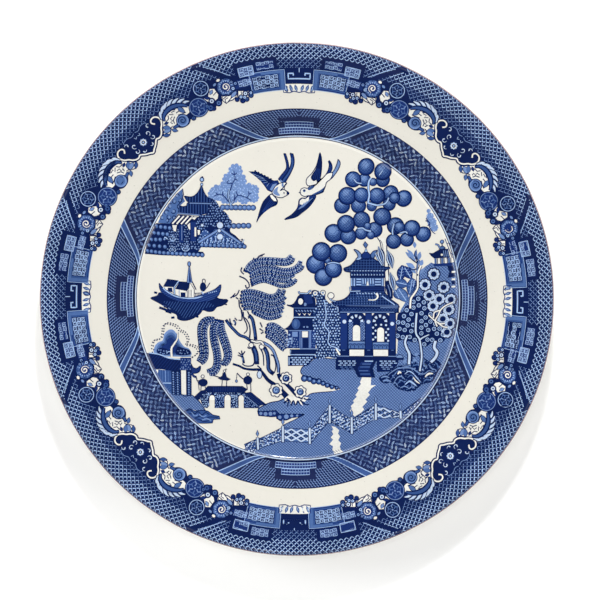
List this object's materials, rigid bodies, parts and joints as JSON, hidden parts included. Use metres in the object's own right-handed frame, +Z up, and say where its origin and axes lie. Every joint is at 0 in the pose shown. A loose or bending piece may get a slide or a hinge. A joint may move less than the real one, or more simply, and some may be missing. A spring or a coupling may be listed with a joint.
{
  "type": "dinner plate",
  "caption": "Round china dinner plate with a printed rim, wall and well, a clear glaze and a foot ring that it stands on.",
  "frame": {"origin": "centre of the foot ring's bearing plane, which is the middle of the plate's underside", "axes": "+Z up through the middle of the plate, square to the foot ring; +Y towards the top of the printed scene; +X to the scene's right"},
  "size_m": [0.2658, 0.2658, 0.0229],
  "materials": {
    "biscuit": "matte fired clay, seen only on the foot ring's bearing face",
    "cobalt_print": "cobalt blue transfer print under the glaze, from pale wash to near navy, with fine engraved lines",
    "lip_brown": "thin pinkish brown line where the glaze thins over the lip",
    "clear_glaze": "glossy clear glaze with a faint warm cream tint"
  },
  "bodies": {
    "root": {"plate_body": "biscuit", "centre_scene_print": "cobalt_print", "scene_ring_line": "cobalt_print", "wall_border_print": "cobalt_print", "rim_border_print": "cobalt_print", "lip_edge_line": "lip_brown", "glaze_coat": "clear_glaze", "foot_recess_glaze": "clear_glaze"}
  },
  "joints": []
}
